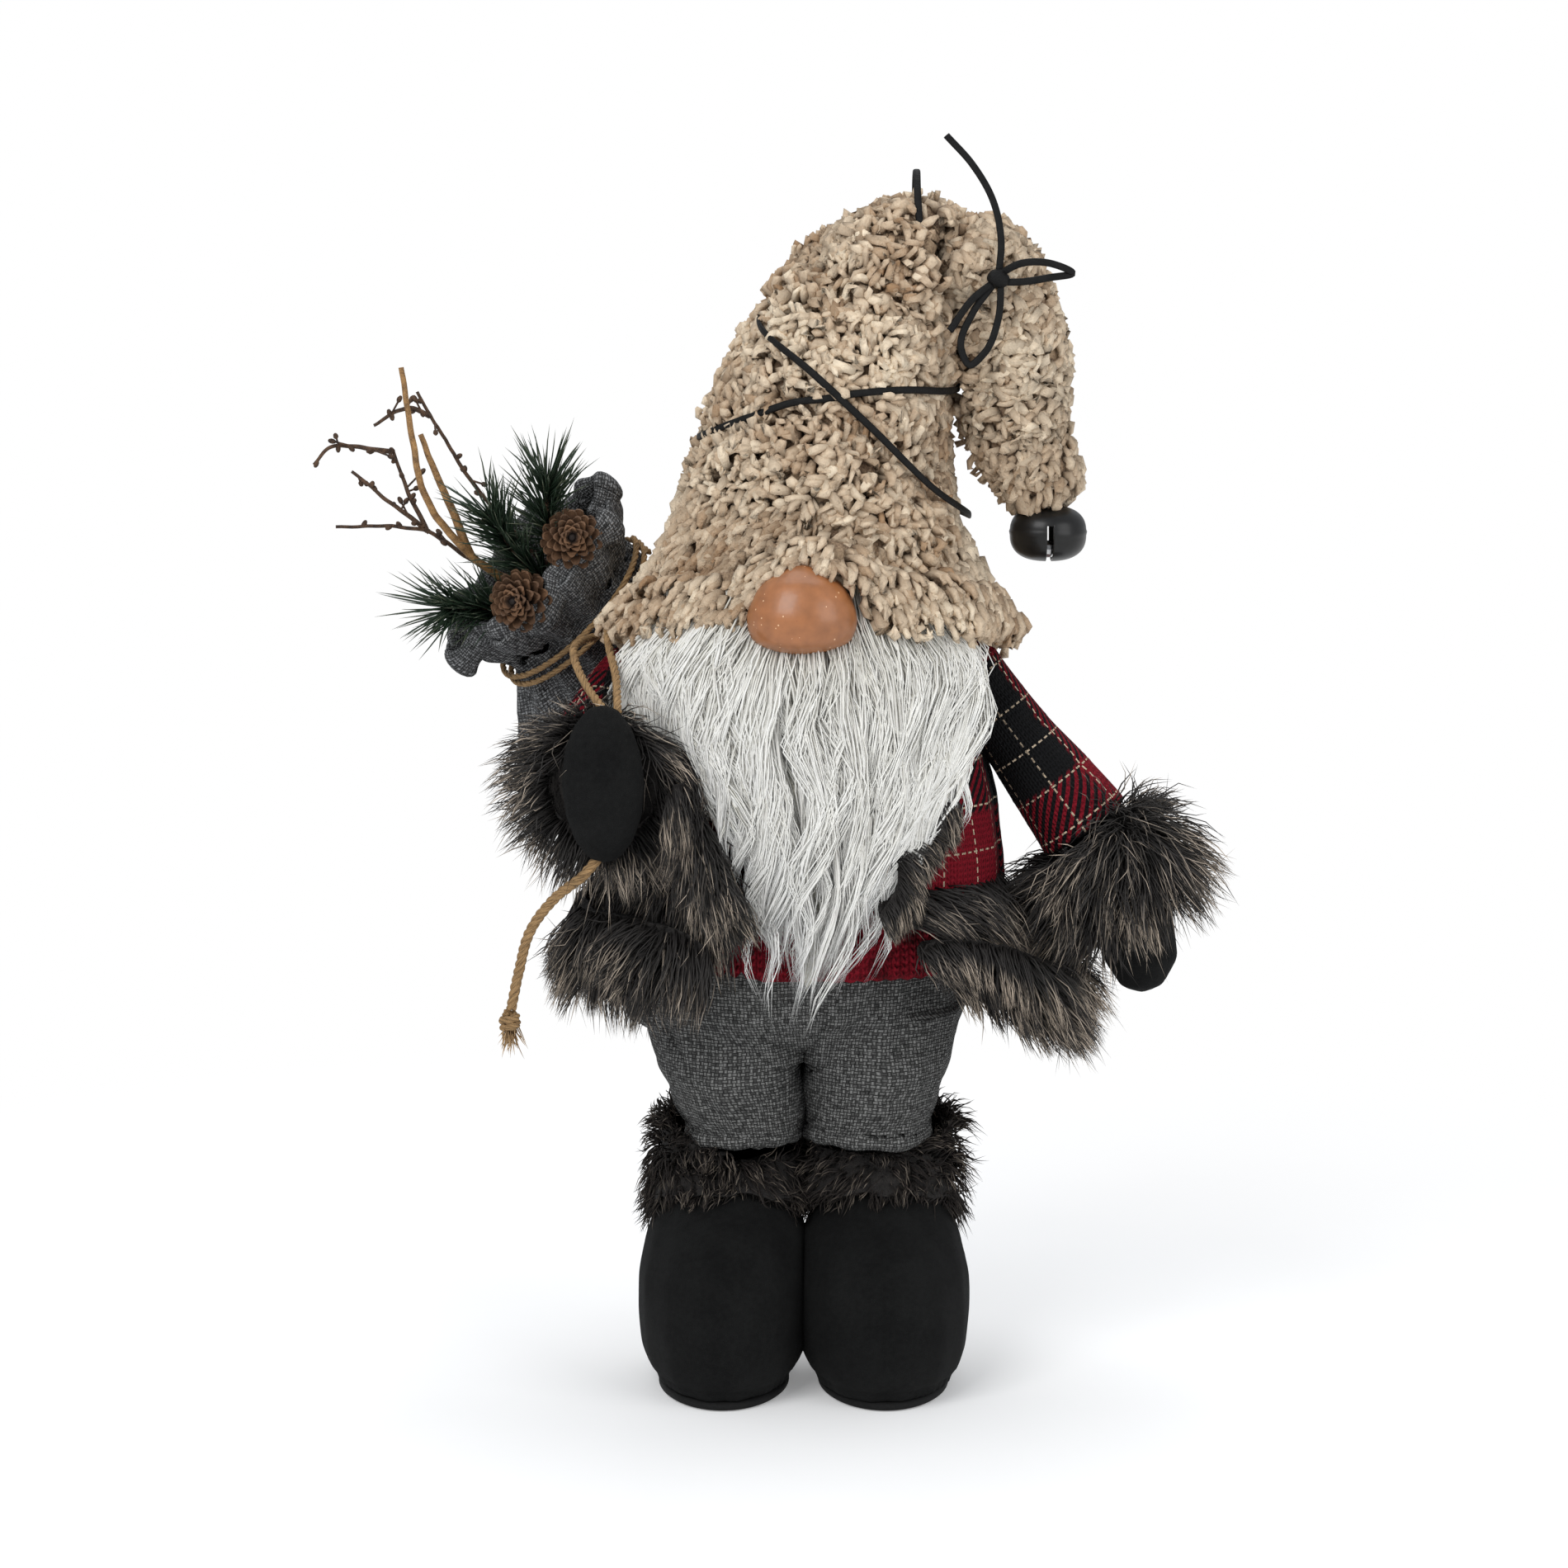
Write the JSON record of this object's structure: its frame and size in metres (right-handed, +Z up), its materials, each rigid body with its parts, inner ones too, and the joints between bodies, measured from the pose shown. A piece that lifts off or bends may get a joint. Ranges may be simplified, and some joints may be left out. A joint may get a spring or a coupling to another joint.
{
  "type": "standing gnome figure",
  "caption": "Standing stuffed gnome in a tall folded hat with a bell, long beard, fur trimmed plaid coat and felt boots, carrying a wool sack of greenery over one shoulder.",
  "frame": {"origin": "on the floor under the middle of the whole figure, arm and greenery included", "axes": "+Z up, the face towards -Y, the figure's own right (the side with the sack) towards -X"},
  "size_m": [0.3198, 0.1566, 0.4537],
  "materials": {
    "felt": "black wool felt",
    "weight": "cotton bag of pellets",
    "fur": "long dark pile with tan tips",
    "stuffing": "cotton cloth over fibre stuffing",
    "tweed": "grey tweed",
    "plaid": "red and black plaid knit",
    "knit": "red ribbed knit",
    "beard": "long white pile",
    "nose": "glazed terracotta brown",
    "wood": "plain dowel",
    "boucle": "beige boucle",
    "lace": "waxed black cord",
    "bell": "matte black",
    "steel": "plain wire",
    "wool": "grey wool felt",
    "twine": "twisted jute",
    "pine": "dark green",
    "cone": "dry brown scales",
    "twig": "dark bark",
    "straw": "dry straw"
  },
  "bodies": {
    "figure": {"right_boot_sole": "felt", "right_weight_bag": "weight", "right_boot_upper": "felt", "right_leg": "stuffing", "right_boot_cuff": "fur", "left_boot_sole": "felt", "left_weight_bag": "weight", "left_boot_upper": "felt", "left_leg": "stuffing", "left_boot_cuff": "fur", "trousers": "tweed", "body": "stuffing", "shirt_hem": "knit", "head": "stuffing", "nose": "nose", "nose_peg": "wood", "coat_back": "plaid", "coat_right_front": "plaid", "coat_left_front": "plaid", "right_sleeve": "plaid", "right_mitten": "felt", "right_arm_wire": "steel", "right_cuff": "fur", "rope_outer_strand": "twine", "rope_inner_strand": "twine", "right_hem_fur": "fur", "left_hem_fur": "fur", "right_front_fur": "fur", "left_front_fur": "fur", "beard": "beard", "beard_pad": "stuffing", "hat_crown": "boucle", "hat_filling": "stuffing", "hat_wire": "steel", "hat_lace": "lace", "hat_lace_strap": "lace", "sack": "wool", "sack_filling": "stuffing", "sack_tie": "twine", "rope_tail": "twine", "rope_knot": "twine", "cone_lower": "cone", "cone_upper": "cone", "straw_stick": "straw", "twig_tall": "twig", "twig_low": "twig", "sprig_lower": "pine", "sprig_middle": "pine", "sprig_upper": "pine"},
    "left_arm": {"left_sleeve": "plaid", "left_mitten": "felt", "left_cuff": "fur", "left_arm_wire": "steel"},
    "drooping_tip": {"hat_tip": "boucle", "tip_wire": "steel", "tip_thread_loop": "lace", "lace_bow": "lace"},
    "bell": {"bell_shell": "bell"},
    "pea": {"bell_pea": "steel"}
  },
  "joints": [
    {"name": "left_arm_swing", "type": "hinge", "parent": "figure", "child": "left_arm", "pos_m": [0.079, 0, 0.261], "axis": [0, -1, 0], "range_deg": [0, 55]},
    {"name": "hat_tip_bend", "type": "hinge", "parent": "figure", "child": "drooping_tip", "pos_m": [0.081, 0, 0.4013], "axis": [0, -1, 0], "range_deg": [0, 35]},
    {"name": "bell_swing", "type": "hinge", "parent": "drooping_tip", "child": "bell", "pos_m": [0.107, 0, 0.3248], "axis": [0, 1, 0], "range_deg": [-20, 20]},
    {"name": "pea_rattle", "type": "slide", "parent": "bell", "child": "pea", "axis": [0, 0, 1], "range_m": [0, 0.01]}
  ]
}
